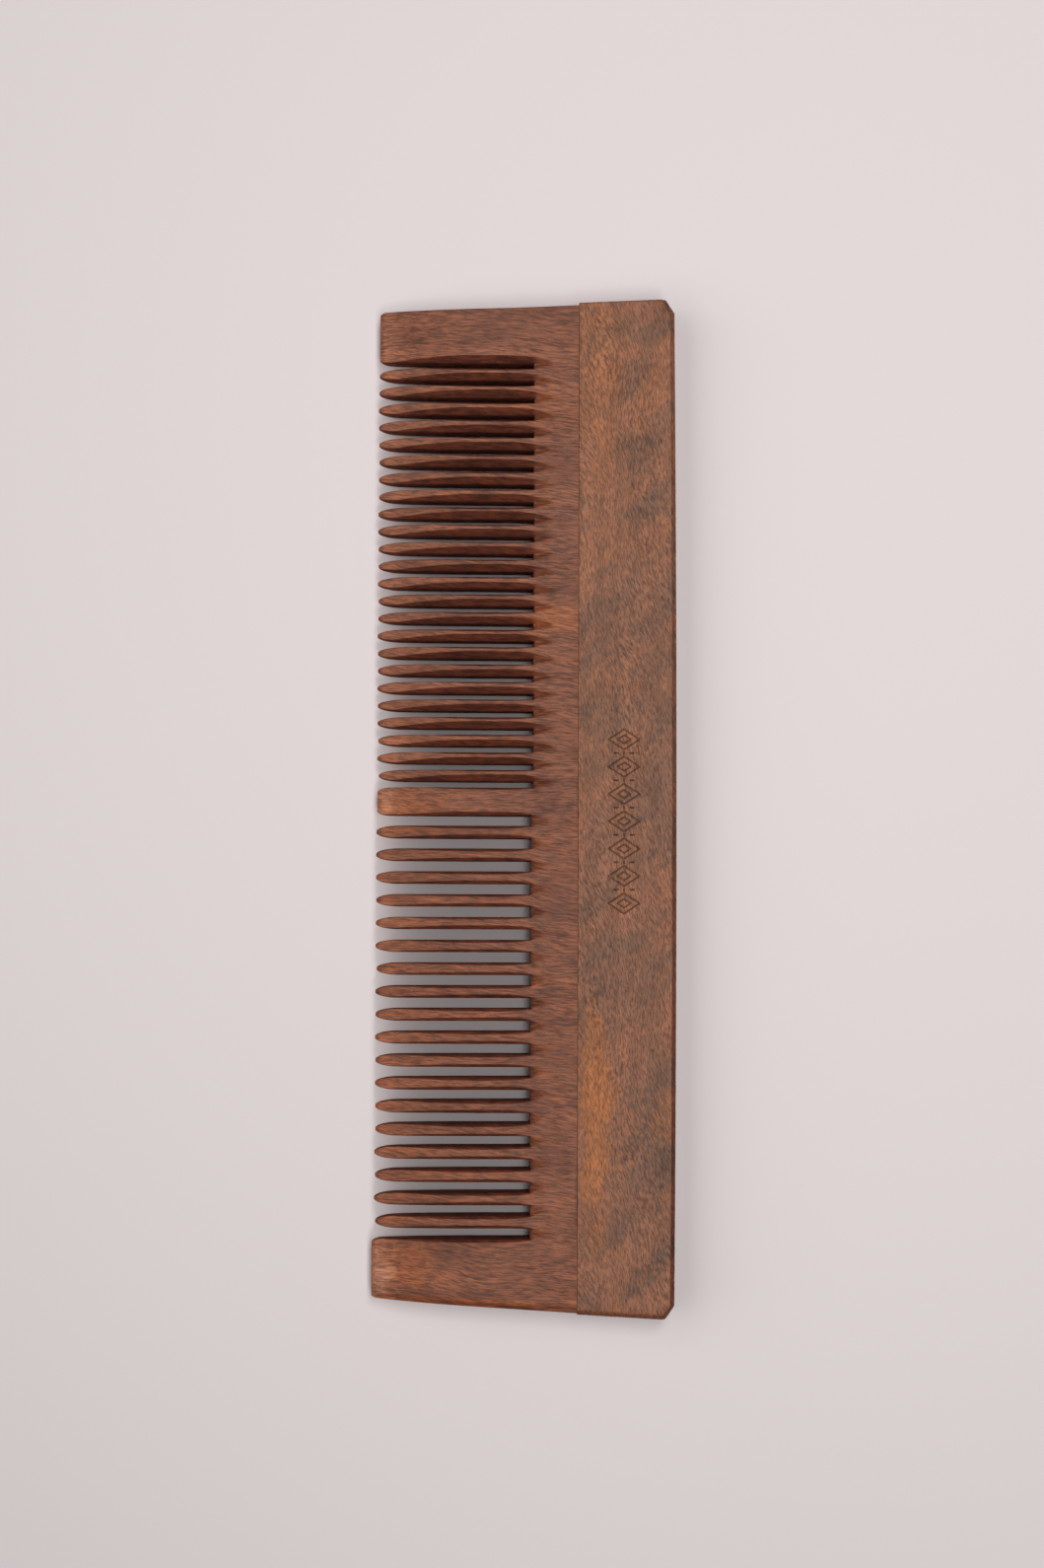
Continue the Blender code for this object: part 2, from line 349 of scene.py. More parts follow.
def tooth_columns(member, side, along):
    """Distances from the slot's middle, from the wall to the member's ridge."""
    gap = member.gaps[side]
    from_tip = member.tip - along
    top = half_thickness(from_tip)
    half_width = plan_half(member, side, along)
    wall = member.full_half(side) + gap.half - half_width
    cell = ridge_distance(member, side, along)
    across, _ = wear(member, from_tip, half_width, top)
    delta = np.minimum(CREASE, CREASE_SHARE * half_width)
    thinned = (1.0 - gap.cut.follow) * (HALF_BOARD - top) * gap.cut.run
    crease = v_reach(gap, along) - thinned - side * gap.shift
    crease = np.clip(crease, wall + across + 2.0 * delta, cell - 0.15 * half_width)
    start = wall + across
    columns = [wall + share * across for share in WALL_SHARES]
    columns += [start + (crease - delta - start) * share for share in (0.35, 0.7)]
    columns += [crease - delta, crease, crease + delta]
    flats = np.linspace(0.0, 1.0, 9 if member.broad else 4)[1:]
    columns += [crease + delta + (cell - crease - delta) * share for share in flats]
    return np.array(columns)


def rail_columns(member, side, along, slot_columns):
    """The same columns inside the rail, with the V's own, gathered towards the V's end."""
    gap = member.gaps[side]
    cell = ridge_distance(member, side, gap.end)
    inside = np.clip((gap.end - along) / V_SETTLE, 0.0, 1.0)
    start = -side * gap.shift * inside
    crease_index = len(WALL_SHARES) + 4
    at_slot = slot_columns[crease_index]
    crease = max(v_reach(gap, along), NARROWEST_V) - side * gap.shift
    crease += (at_slot - v_reach(gap, gap.end) + side * gap.shift) * (1.0 - inside)
    inner = np.concatenate([gap.half * np.array([0.0, 0.35, 0.7]), slot_columns[:crease_index + 1]])
    inner = start + (crease - start) * inner / at_slot
    flats = (slot_columns[crease_index + 1:] - at_slot) / (cell - at_slot)
    return np.concatenate([inner, crease + (cell - crease) * flats])


def outer_columns(member, side, along):
    """Distances from the member's axis to its free outer edge."""
    edge = plan_half(member, side, along)
    columns = list(np.linspace(0.0, 1.0, 9)[:-1] * (edge - OUTER_ROUND[side]))
    columns += [edge - OUTER_ROUND[side] * share for share in (1.0, 0.7, 0.45, 0.25, 0.1, 0.02, 0.0)]
    return np.array(columns)


def slope_end(member, side, offset):
    """Where the slot ends at a point across the member, level between its two slots."""
    ends = member.slot_end(1), member.slot_end(-1)
    if ends[0] == ends[1]:
        return np.full(np.shape(offset), ends[0])
    width = member.full_half(1) + member.full_half(-1)
    share = np.clip((member.full_half(1) - offset * side) / width, 0.0, 1.0)
    return ends[0] * (1.0 - share) + ends[1] * share


def surface(x, along, height):
    return np.stack([x, JOINT_Y + along, MID_Z + height], axis=-1)


def add_faces(sheets, x, along, height):
    """The top sheet and its mirror image underneath."""
    sheets.add(surface(x, along, height))
    sheets.add(surface(x, along, -height))


def add_wall(sheets, x, along, height):
    """A wall that hangs from a line of the top sheet to the same line underneath."""
    rows = height[None, :] * WALL_ROWS[:, None]
    sheets.add(surface(np.broadcast_to(x, rows.shape), np.broadcast_to(along, rows.shape), rows))


def stations(member, side):
    """Shares of the way from the joint line to the slot's end, and on to the tip."""
    end = member.slot_end(side)
    in_rail = BOARD_START + (end - BOARD_START) * (1.0 - RAIL_STATIONS / RAIL_STATIONS[0])
    length = member.length()
    shares = np.concatenate([[1.0], TIP_STATIONS[TIP_STATIONS < length - 0.8] / length])
    return in_rail, member.tip - (member.tip - end) * shares


def along_grid(member, side, line, offsets, end):
    """Bends a line of stations to where the slots end across the member."""
    local = slope_end(member, side, offsets)
    if line <= end:
        return BOARD_START + (line - BOARD_START) * (local - BOARD_START) / (end - BOARD_START)
    return member.tip - (member.tip - line) * (member.tip - local) / (member.tip - end)


def half_with_slot(sheets, member, side):
    gap = member.gaps[side]
    cell = member.full_half(side) + gap.half
    in_rail, out = stations(member, side)
    slot_columns = tooth_columns(member, side, gap.end)
    grids = []
    for lines, columns_at in ((in_rail, lambda a: rail_columns(member, side, a, slot_columns)),
                              (out, lambda a: tooth_columns(member, side, a))):
        inward = np.array([columns_at(line) for line in lines])
        along = np.array([along_grid(member, side, line, cell - row, gap.end)
                          for line, row in zip(lines, inward)])
        height = face_height(member, side, along, inward)
        grids.append((gap.middle - side * inward, along, height))
    (rail_x, rail_along, rail_height), (x, along, height) = grids
    v_count = rail_x.shape[1] - x.shape[1]
    rail_x[-1, v_count:], rail_along[-1, v_count:] = x[0], along[0]
    rail_height[-1, v_count:] = height[0]
    add_faces(sheets, rail_x, rail_along, rail_height)
    add_faces(sheets, x, along, height)
    add_wall(sheets, x[:, 0], along[:, 0], height[:, 0])
    add_wall(sheets, x[-1], along[-1], height[-1])
    add_wall(sheets, rail_x[-1, :v_count + 1], rail_along[-1, :v_count + 1], rail_height[-1, :v_count + 1])
    add_wall(sheets, rail_x[0], rail_along[0], rail_height[0])


def half_with_edge(sheets, member, side):
    in_rail, out = stations(member, side)
    lines = np.concatenate([in_rail, out[1:]])
    offsets = np.array([outer_columns(member, side, line) for line in lines])
    along = np.broadcast_to(lines[:, None], offsets.shape)
    edge = plan_half(member, side, along)
    top = half_thickness(member.tip - along)
    down = np.minimum(OUTER_DROP[side], DEEPEST_ROUND * top)
    height = top - end_drop(side, edge - offsets, OUTER_ROUND[side], down)
    x = member.axis + side * offsets
    add_faces(sheets, x, along, height)
    add_wall(sheets, x[:, -1], along[:, -1], height[:, -1])
    add_wall(sheets, x[-1], along[-1], height[-1])
    add_wall(sheets, x[0], along[0], height[0])


def board_members():
    names = [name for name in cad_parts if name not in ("spine", "tooth_rail")]
    names.sort(key=lambda name: -(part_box(name)[0][0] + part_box(name)[1][0]))
    gaps = [None] + [Gap(above, below) for above, below in zip(names[:-1], names[1:])] + [None]
    return [Member(name, gaps[place], gaps[place + 1]) for place, name in enumerate(names)]


def make_board(material):
    sheets = Sheets()
    members = board_members()
    for member in members:
        for side in (1, -1):
            if member.gaps[side] is None:
                half_with_edge(sheets, member, side)
            else:
                half_with_slot(sheets, member, side)
    board = add_piece("tooth_board", sheets.mesh("tooth_board"), material)
    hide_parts("tooth_rail", *[member.name for member in members])


# ---------------------------------------------------------------- the spine

SPINE_BACK = SPINE_LOW[1]
SPINE_ENDS = (SPINE_HIGH[0], SPINE_LOW[0])
SPINE_DRAFT = (0.85, 1.0)    # how much each end leans in between the back and the joint
CORNER = (2.6, 1.7)          # corner cuts at the back, along and across
BACK_BOW = 0.4               # how far the back falls away towards both ends
BACK_CHAMFER = (0.82, 0.72)  # the long back edges, across and down
END_ROUNDS = {1: (0.36, 0.36), -1: (1.10, 0.85)}     # the two ends' edges, across and down
JOINT_ROUND = 0.08
CHAMFER_BLEND = 0.10         # how soft the back's crease is
SPINE_STEPS = (1.5, 1.0)     # between mesh lines, along and across
ORNAMENT_STEP = 0.085        # the same over the ornament
ORNAMENT_MARGIN = 0.35

ORNAMENT_MIDDLE = (-3.2, -18.4)
ORNAMENT_PITCH = 5.1
ORNAMENT_COUNT = 7
LOZENGE = (1.9, 2.9)        # half length along the comb, half width across it
GROOVE_DEPTH = 0.17
GROOVE_HALF = 0.15
GROOVE_BURN = 1.25           # the burn is full up to a quarter of the groove's half width from its middle
# darkness of the line along the back chamfer's crease
CREASE_DARKNESS = 0.6
BACK_LINE = 0.12             # half width of the dark line where the back's chamfer meets the face


def ornament_lines():
    """A plain running border: lozenges with a bead between neighbours, as (start, end) segments."""
    lines = []
    middle_x, middle_y = ORNAMENT_MIDDLE
    first = middle_x - ORNAMENT_PITCH * (ORNAMENT_COUNT - 1) / 2
    for index in range(ORNAMENT_COUNT):
        x = first + index * ORNAMENT_PITCH
        for scale in (1.0, 0.42):
            along, across = LOZENGE[0] * scale, LOZENGE[1] * scale
            ring = [(x + along, middle_y), (x, middle_y + across), (x - along, middle_y),
                    (x, middle_y - across)]
            lines += list(zip(ring, ring[1:] + ring[:1]))
        if index < ORNAMENT_COUNT - 1:
            between = x + ORNAMENT_PITCH / 2
            for offset in (-1.5, 1.5):
                lines.append(((between, middle_y + offset - 0.35), (between, middle_y + offset + 0.35)))
            lines.append(((between - 0.25, middle_y), (between + 0.25, middle_y)))
    return lines


def distance_to_lines(x, y, lines):
    nearest = np.full(x.shape, 1e3)
    for (ax, ay), (bx, by) in lines:
        dx, dy = bx - ax, by - ay
        share = np.clip(((x - ax) * dx + (y - ay) * dy) / (dx * dx + dy * dy), 0.0, 1.0)
        nearest = np.minimum(nearest, np.hypot(x - ax - share * dx, y - ay - share * dy))
    return nearest


def back_edge(x):
    """The bowed back with its corner cuts."""
    reach = SPINE_ENDS[0] - CORNER[0]
    past = np.clip(np.abs(x) - reach, 0.0, None)
    return SPINE_BACK + BACK_BOW * np.clip(np.abs(x) / reach, 0.0, 1.0) ** 2 + past * CORNER[1] / CORNER[0]


def spine_outline():
    high, low = SPINE_ENDS
    back = SPINE_BACK + BACK_BOW
    return [
        (high - SPINE_DRAFT[0], JOINT_Y), (high, back + CORNER[1]), (high - CORNER[0], back),
        (low + CORNER[0], back), (low, back + CORNER[1]), (low + SPINE_DRAFT[1], JOINT_Y),
    ]


def side_distance(x, y, start, end):
    """Distance from a straight side of the outline."""
    (ax, ay), (bx, by) = start, end
    return np.abs((bx - ax) * (y - ay) - (by - ay) * (x - ax)) / math.hypot(bx - ax, by - ay)


def spine_height(x, y):
    """Half thickness of the spine: chamfered along the back, rounded at the ends and the joint."""
    corners = spine_outline()
    height = np.full(x.shape, HALF_SPINE)
    across, down = BACK_CHAMFER
    cuts = side_distance(x, y, *corners[1:3]), side_distance(x, y, *corners[3:5])
    for distance in (y - back_edge(x), *cuts):
        chamfer = HALF_SPINE - down * (1.0 - distance / across)
        height = soft_min(height, chamfer, CHAMFER_BLEND)
    for side, (start, end) in ((1, corners[:2]), (-1, corners[4:])):
        height = height - end_drop(side, side_distance(x, y, start, end), *END_ROUNDS[side])
    return height - edge_drop(JOINT_Y - y, JOINT_ROUND, JOINT_ROUND)


def spread(low, high, step, dense_low, dense_high, dense_step):
    """Stations from low to high, closer together in the middle span."""
    parts = [np.linspace(low, dense_low, max(2, int((dense_low - low) / step)))[:-1],
             np.linspace(dense_low, dense_high, int((dense_high - dense_low) / dense_step)),
             np.linspace(dense_high, high, max(2, int((high - dense_high) / step)))[1:]]
    return np.concatenate(parts)


def spine_grid():
    edge = BACK_CHAMFER[0] * np.array([0.0, 0.05, 0.3, 0.6, 0.80, 0.87, 0.93, 1.0, 1.07, 1.14, 1.22])
    ends = np.array([0.0, 0.015, 0.06, 0.14, 0.24, 0.36, 0.5, 0.72, 0.95, 1.2, 1.9, CORNER[0]])
    half_span = ORNAMENT_PITCH * ORNAMENT_COUNT / 2
    middle = spread(SPINE_ENDS[1] + CORNER[0], SPINE_ENDS[0] - CORNER[0], SPINE_STEPS[0],
                    ORNAMENT_MIDDLE[0] - half_span, ORNAMENT_MIDDLE[0] + half_span, ORNAMENT_STEP)
    back_x = np.concatenate([SPINE_ENDS[1] + ends[:-1], middle, (SPINE_ENDS[0] - ends[:-1])[::-1]])
    joint = JOINT_ROUND * np.array([0.0, 0.15, 0.5, 1.0])
    width = JOINT_Y - SPINE_BACK
    across = JOINT_Y - ORNAMENT_MIDDLE[1]
    half_width = LOZENGE[1] + ORNAMENT_MARGIN
    columns = spread(JOINT_ROUND, width - edge[-1], SPINE_STEPS[1],
                     across - half_width, across + half_width, ORNAMENT_STEP)
    shares = np.concatenate([joint[:-1], columns, (width - edge[:-1])[::-1]]) / width
    return back_x, shares


def make_spine(material):
    back_x, shares = spine_grid()
    back_y = back_edge(back_x)
    draft = np.where(back_x > 0, SPINE_DRAFT[0], SPINE_DRAFT[1])
    joint_x = back_x * (1.0 - draft / SPINE_ENDS[0])
    x = joint_x[:, None] + (back_x - joint_x)[:, None] * shares[None, :]
    y = JOINT_Y + (back_y[:, None] - JOINT_Y) * shares[None, :]
    height = spine_height(x, y)
    groove = distance_to_lines(x, y, ornament_lines())
    cut = np.clip(1.0 - (groove / GROOVE_HALF) ** 2, 0.0, 1.0)
    sheets = Sheets()
    sheets.add(np.stack([x, y, MID_Z + height - GROOVE_DEPTH * cut], axis=-1))
    sheets.add(np.stack([x, y, MID_Z - height], axis=-1))
    for row_x, row_y, row_height in ((x[0], y[0], height[0]), (x[-1], y[-1], height[-1]),
                                     (x[:, 0], y[:, 0], height[:, 0]), (x[:, -1], y[:, -1], height[:, -1])):
        add_wall(sheets, row_x, row_y - JOINT_Y, row_height)
    mesh = sheets.mesh("spine_bar")
    burn_grooves(mesh)
    spine = add_piece("spine_bar", mesh, material)
    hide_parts("spine")


def burn_grooves(mesh):
    """Marks the engraved lines and the chamfer's crease, so that the material can darken them."""
    places = np.empty(len(mesh.vertices) * 3)
    mesh.vertices.foreach_get("co", places)
    places = places.reshape(-1, 3) / MM
    groove = distance_to_lines(places[:, 0], places[:, 1], ornament_lines())
    burn_and_crease = np.clip(GROOVE_BURN - groove / GROOVE_HALF, 0.0, 1.0) * (places[:, 2] > MID_Z)
    # A darker line along the back chamfer's crease
    crease = np.abs(places[:, 1] - back_edge(places[:, 0]) - BACK_CHAMFER[0])
    burn_and_crease = np.maximum(burn_and_crease, CREASE_DARKNESS * np.clip(1.0 - crease / BACK_LINE, 0.0, 1.0))
    mesh.attributes.new("burn_and_crease", "FLOAT", "POINT").data.foreach_set("value", burn_and_crease)


# ---------------------------------------------------------------- the glue line

GLUE_SINK = 0.01             # how far the glue lies under the board's face
GLUE_INSET = (0.15, 0.015)   # from the board's ends, and from the two pieces of wood
GLUE_WAVER = 0.03            # how uneven the bead's height is
GLUE_CROWN = 0.05            # how far the bead falls away towards its two sides
GLUE_STATIONS = 420
GLUE_STAINS = ((-72.0, 4.5, 0.90), (1.0, 3.0, 0.70), (-24.0, 2.0, 0.35))   # x, half length, strength


def make_glue(material):
    """The thin bead of glue that shows along the joint, on both faces and at both ends."""
    sheets = Sheets()
    end_inset, side_inset = GLUE_INSET
    x = np.linspace(outer_edge(-1, 0.0) + end_inset, outer_edge(1, 0.0) - end_inset, GLUE_STATIONS)
    waver = np.interp(x, np.linspace(-95.0, 95.0, 160), RNG.uniform(-GLUE_WAVER, GLUE_WAVER, 160))
    across = np.array([0.0, 0.25, 0.5, 0.75, 1.0])
    along = side_inset + across * (BOARD_START - 2 * side_inset)
    bead = HALF_BOARD - GLUE_SINK + waver[:, None] - GLUE_CROWN * (2.0 * across[None, :] - 1.0) ** 2
    xs = np.broadcast_to(x[:, None], bead.shape)
    alongs = np.broadcast_to(along[None, :], bead.shape)
    add_faces(sheets, xs, alongs, bead)
    for row in (0, -1):
        add_wall(sheets, xs[row], alongs[row], bead[row])
        add_wall(sheets, xs[:, row], alongs[:, row], bead[:, row])
    add_piece("glue_line", sheets.mesh("glue_line"), material)


# ---------------------------------------------------------------- materials

class Nodes:
    """Short calls for building a material's node tree."""

    def __init__(self, name):
        self.material = bpy.data.materials.new(name)
        self.material.use_nodes = True
        self.tree = self.material.node_tree
        self.shader = self.tree.nodes["Principled BSDF"]

    def node(self, kind, values=(), links=(), **settings):
        made = self.tree.nodes.new(kind)
        for key, value in settings.items():
            setattr(made, key, value)
        for key, value in dict(values).items():
            made.inputs[key].default_value = value
        for key, source in dict(links).items():
            self.tree.links.new(source, made.inputs[key])
        return made

    def place(self):
        """Position in millimetres."""
        source = self.node("ShaderNodeTexCoord").outputs["Object"]
        return self.node("ShaderNodeVectorMath", {1: (1000.0, 1000.0, 1000.0)}, {0: source},
                         operation="MULTIPLY").outputs[0]

    def flattened(self, place):
        """Makes the grain change little with depth, so that strokes run on over the slopes."""
        kept = (1.0 - GRAIN_DEPTH) * (MID_Z + HALF_BOARD)
        values = {1: (1.0, 1.0, GRAIN_DEPTH), 2: (0.0, 0.0, kept)}
        return self.node("ShaderNodeVectorMath", values, {0: place}, operation="MULTIPLY_ADD").outputs[0]

    def stretched(self, place, sizes, offset=(0.0, 0.0, 0.0), detail=2.0, rough=0.5):
        """Noise whose features have the given sizes in millimetres."""
        scale = tuple(1.0 / size for size in sizes)
        mapped = self.node("ShaderNodeMapping", {"Scale": scale, "Location": offset}, {"Vector": place})
        noise = self.node("ShaderNodeTexNoise", {"Scale": 1.0, "Detail": detail, "Roughness": rough},
                          {"Vector": mapped.outputs[0]})
        return noise

    def warped(self, place, sizes, amount, offset=(0.0, 0.0, 0.0), detail=2.0):
        noise = self.stretched(place, sizes, offset, detail)
        return self.node("ShaderNodeVectorMath", {1: amount}, {0: noise.outputs["Color"], 2: place},
                         operation="MULTIPLY_ADD").outputs[0]

    def turned(self, place, angle):
        return self.node("ShaderNodeVectorRotate", {"Angle": angle}, {"Vector": place},
                         rotation_type="Z_AXIS").outputs[0]

    def axis(self, place, index):
        return self.node("ShaderNodeSeparateXYZ", {}, {0: place}).outputs[index]

    def lean(self, index):
        """How far the surface's own direction points along an axis, from 0 to 1."""
        normal = self.node("ShaderNodeTexCoord").outputs["Normal"]
        return self.node("ShaderNodeMath", {}, {0: self.axis(normal, index)}, operation="ABSOLUTE").outputs[0]

    def ranged(self, value, low, high, to_low=0.0, to_high=1.0):
        return self.node("ShaderNodeMapRange", {1: low, 2: high, 3: to_low, 4: to_high}, {0: value},
                         interpolation_type="SMOOTHSTEP").outputs[0]

    def times(self, first, second):
        links = {0: first}
        values = {}
        if isinstance(second, float):
            values[1] = second
        else:
            links[1] = second
        return self.node("ShaderNodeMath", values, links, operation="MULTIPLY").outputs[0]

    def mixed(self, share, first, second, blend="MIX"):
        made = self.node("ShaderNodeMix", data_type="RGBA", blend_type=blend)
        for socket, source in ((made.inputs[0], share), (made.inputs[6], first), (made.inputs[7], second)):
            if isinstance(source, (tuple, float)):
                socket.default_value = source
            else:
                self.tree.links.new(source, socket)
        return made.outputs[2]

    def shaded(self, colour, factor):
        grey = self.node("ShaderNodeCombineColor", {}, {0: factor, 1: factor, 2: factor}).outputs[0]
        return self.mixed(1.0, colour, grey, "MULTIPLY")

    def patch(self, place, centre, radii, edge_noise):
        """A soft-edged cloud, ragged by a noise: 1 inside, 0 outside."""
        offset = self.node("ShaderNodeVectorMath", {1: (*centre, 0.0)}, {0: place}, operation="SUBTRACT")
        scaled = self.node("ShaderNodeVectorMath", {1: (1.0 / radii[0], 1.0 / radii[1], 0.0)},
                           {0: offset.outputs[0]}, operation="MULTIPLY")
        length = self.node("ShaderNodeVectorMath", {}, {0: scaled.outputs[0]}, operation="LENGTH")
        ragged = self.node("ShaderNodeMath", {}, {0: length.outputs["Value"], 1: edge_noise},
                           operation="ADD").outputs[0]
        return self.ranged(ragged, 1.0, 1.9, 1.0, 0.0)

    def finish(self, colour, roughness, height, bump):
        self.tree.links.new(colour, self.shader.inputs["Base Color"])
        self.shader.inputs["Specular IOR Level"].default_value = WOOD_SPECULAR
        self.tree.links.new(roughness, self.shader.inputs["Roughness"])
        normal = self.node("ShaderNodeBump", {"Strength": bump, "Distance": BUMP_DISTANCE},
                           {"Height": height})
        self.tree.links.new(normal.outputs[0], self.shader.inputs["Normal"])
        return self.material


def rgb(red, green, blue):
    return (red, green, blue, 1.0)


WOOD_SPECULAR = 0.22
GRAIN_DEPTH = 0.25           # how much the grain changes with depth, against its change across
BOARD_TONES = (rgb(0.158, 0.056, 0.033), rgb(0.212, 0.077, 0.043), rgb(0.31, 0.100, 0.040))
SPINE_TONES = (rgb(0.168, 0.080, 0.050), rgb(0.262, 0.105, 0.056), rgb(0.36, 0.122, 0.038))
# Stroke length and width, the strokes' slant and how far they bend, the clouds' slant, and how deep the
# streaks are
BOARD_GRAIN = (3.0, 0.24, math.radians(5.0), 3.5, 0.0, 0.11)
SPINE_GRAIN = (1.3, 0.21, math.radians(-12.0), 9.0, math.radians(50.0), 0.05)
DARK_STROKE = rgb(0.64, 0.68, 0.74)
LIGHT_STROKE = rgb(1.48, 1.42, 1.27)
PORE = rgb(0.065, 0.034, 0.024)
BURN_AND_CREASE_STRENGTH = 0.70
GROOVE_TONE = rgb(0.050, 0.022, 0.012)
GLUE_TONES = (rgb(0.29, 0.105, 0.046), rgb(0.235, 0.076, 0.037))
GLUE_STAIN_TONE = rgb(0.045, 0.032, 0.026)
BUMP_DISTANCE = 0.00006      # in metres
WOOD_BUMP = 0.35
GLUE_BUMP = 0.2
FACE_ROUGHNESS = (0.50, 0.66)    # on the wood between the pores, and in them
WALL_ROUGHNESS = 0.4             # how much rougher the sawn walls are
GLUE_ROUGHNESS = (0.40, 0.60)

# Tints multiply the wood's colour: painted shade with a painted reddish bounce on the sawn walls and the
# facets, a painted sheen on the tips, paler greyer patches at some tips, one end of each piece
WALL_SHADE_TINT = rgb(0.68, 0.42, 0.36)
FACET_SHADE_TINT = rgb(0.57, 0.41, 0.39)
TIP_SHEEN_TINT = rgb(1.26, 1.24, 1.22)
PALE_TIP_TINT = rgb(1.50, 1.88, 2.15)
WIDE_END_TINT = rgb(0.93, 0.87, 0.80)
SPINE_END_TINT = rgb(0.86, 0.86, 0.87)
WALL_LEAN = (0.89, 0.99)     # how far a surface leans where the walls' painted shade and the facets' come in
FACET_LEAN = (0.37, 0.75)
RAIL_SHADE_SHARE = 0.50             # how much of the flanks' painted shade is left inside the rail
TIP_SHEEN_SPAN = (31.5, 5.5)     # painted sheen: the tips get lighter from here, past the joint line, over this length
TIP_FACE_LEAN = (0.40, 0.75)     # the painted sheen fades out on surfaces that lean this far

# The faint arches in the spine's grain
FIGURE_TURN = math.radians(4.0)
FIGURE_SCALE = (0.022, 0.060, 0.0)
FIGURE_PLACE = (0.40, 1.10, 0.0)
FIGURE_DEPTH = 0.05

# Clouds in the grain, painted shade along the spine's back chamfer and pale patches at some tips: (middle x,
# middle y, half length, half width, strength)
DARK_CLOUDS_AND_CHAMFER_SHADE = (
    (38.0, -19.0, 9.0, 5.0, 0.30), (21.0, -24.5, 12.0, 4.0, 0.40), (17.5, -12.0, 4.5, 3.0, 0.45),
    (-8.0, -13.0, 5.0, 3.5, 0.30), (-32.0, -17.0, 5.0, 5.5, 0.50), (-57.0, -23.0, 11.0, 3.0, 0.55),
    (-72.0, -20.0, 8.0, 4.0, 0.35), (64.0, -25.0, 8.0, 2.5, 0.30), (-4.0, -18.5, 20.0, 7.0, 0.22),
    # painted shade: this cloud darkens the back chamfer towards the wide end
    (-45.0, -28.3, 50.0, 0.55, 0.60),
)
WARM_CLOUDS = ((-53.0, -13.0, 4.0, 2.0, 0.60), (-60.0, -11.8, 13.0, 1.8, 0.75),
               (80.0, -12.5, 14.0, 2.5, 0.30), (-58.0, -25.5, 3.0, 2.0, 0.35))
BOARD_DARK = ((70.0, -5.5, 5.0, 3.0, 0.40), (50.0, -4.5, 7.0, 3.5, 0.25), (-20.0, -4.0, 5.0, 3.5, 0.35),
              (-72.0, -9.7, 4.5, 0.25, 0.95), (1.0, -9.7, 3.0, 0.22, 0.70), (-89.6, 18.0, 0.6, 12.0, 0.75),
              (-91.9, 12.0, 0.35, 16.0, 0.8))
BOARD_WARM = ((76.0, -5.0, 3.0, 5.0, 0.30), (36.0, -5.0, 2.2, 5.0, 0.60), (-90.9, 10.0, 0.5, 16.0, 0.80),
              (-84.0, 21.0, 2.4, 2.5, 0.55), (0.0, 22.0, 2.6, 4.0, 0.50))
PALE_TIP_PATCHES = ((-88.3, 30.2, 6.0, 4.0, 1.0), (0.2, 29.0, 3.5, 2.8, 0.65), (89.0, 29.0, 6.0, 3.0, 0.18))


def wood_colour(build, along_axis, tones, dark_clouds, warm_clouds, grain_form):
    """Clouds of tone, broad streaks, fine slanted strokes and sparse dark pores along the grain."""
    def sizes(across, along):
        return (along, across, across) if along_axis == 0 else (across, along, across)

    reach, width, slant, bend, lean, depth = grain_form
    place = build.flattened(build.place())
    sway = (0.0, 2.6, 0.8) if along_axis == 0 else (2.6, 0.0, 0.8)
    slow = build.warped(place, sizes(11.0, 19.0), sway)
    grain = build.warped(slow, sizes(3.4, 5.2), tuple(part * 0.34 for part in sway), (4.0, 9.0, 2.0))
    swirl = (0.0, bend, 0.0) if along_axis == 0 else (bend, 0.0, 0.0)
    fibre = build.turned(build.warped(grain, sizes(12.0, 26.0), swirl, (7.0, 3.0, 1.0), 0.5), slant)
    leaning = build.turned(slow, lean)
    clouds = build.stretched(leaning, sizes(5.0, 13.0), (3.1, 7.7, 1.3), 4.0, 0.50).outputs[0]
    warm = build.stretched(grain, sizes(2.0, 12.0), (11.3, 2.4, 5.2), 3.0, 0.6).outputs[0]
    bands = build.stretched(slow, sizes(3.0, 45.0), (5.0, 1.0, 2.0), 2.0, 0.5).outputs[0]
    streaks = build.stretched(fibre, sizes(0.70, 3.2 * reach), (6.0, 3.0, 2.0), 3.0, 0.6).outputs[0]
    strokes = build.stretched(fibre, sizes(width, reach), (2.0, 9.0, 4.0), 3.0, 0.65).outputs[0]
    pores = build.stretched(fibre, sizes(0.24, 0.8 * reach), (8.0, 3.0, 6.0), 2.0, 0.5).outputs[0]
    ragged = build.ranged(clouds, 0.3, 0.7, -0.45, 0.45)
    colour = build.mixed(build.ranged(clouds, 0.30, 0.56), tones[0], tones[1])
    colour = build.mixed(build.times(build.ranged(warm, 0.50, 0.76), 0.28), colour, tones[2])
    for clouds_here, tone in ((dark_clouds, tones[0]), (warm_clouds, tones[2])):
        for x, y, length, breadth, strength in clouds_here:
            share = build.times(build.patch(slow, (x, y), (length, breadth), ragged), strength)
            colour = build.mixed(share, colour, tone)
    colour = build.shaded(colour, build.ranged(bands, 0.30, 0.70, 0.88, 1.12))
    colour = build.shaded(colour, build.ranged(streaks, 0.30, 0.70, 1.0 - depth, 1.0 + depth))
    tint = build.mixed(build.ranged(strokes, 0.38, 0.62), DARK_STROKE, LIGHT_STROKE)
    colour = build.mixed(1.0, colour, tint, "MULTIPLY")
    colour = build.mixed(build.times(build.ranged(pores, 0.60, 0.70), 0.55), colour, PORE)
    return colour, pores


def painted_lean_shade(build, colour, axis, share):
    """Painted shade with a painted reddish bounce: flanks and walls that face along an axis are made darker
    and redder than the sanded faces.
    """
    lean = build.lean(axis)
    tint = build.mixed(build.ranged(lean, *WALL_LEAN), FACET_SHADE_TINT, WALL_SHADE_TINT)
    tint = build.mixed(build.ranged(lean, *FACET_LEAN), rgb(1.0, 1.0, 1.0), tint)
    return build.mixed(share, colour, build.mixed(1.0, colour, tint, "MULTIPLY"))


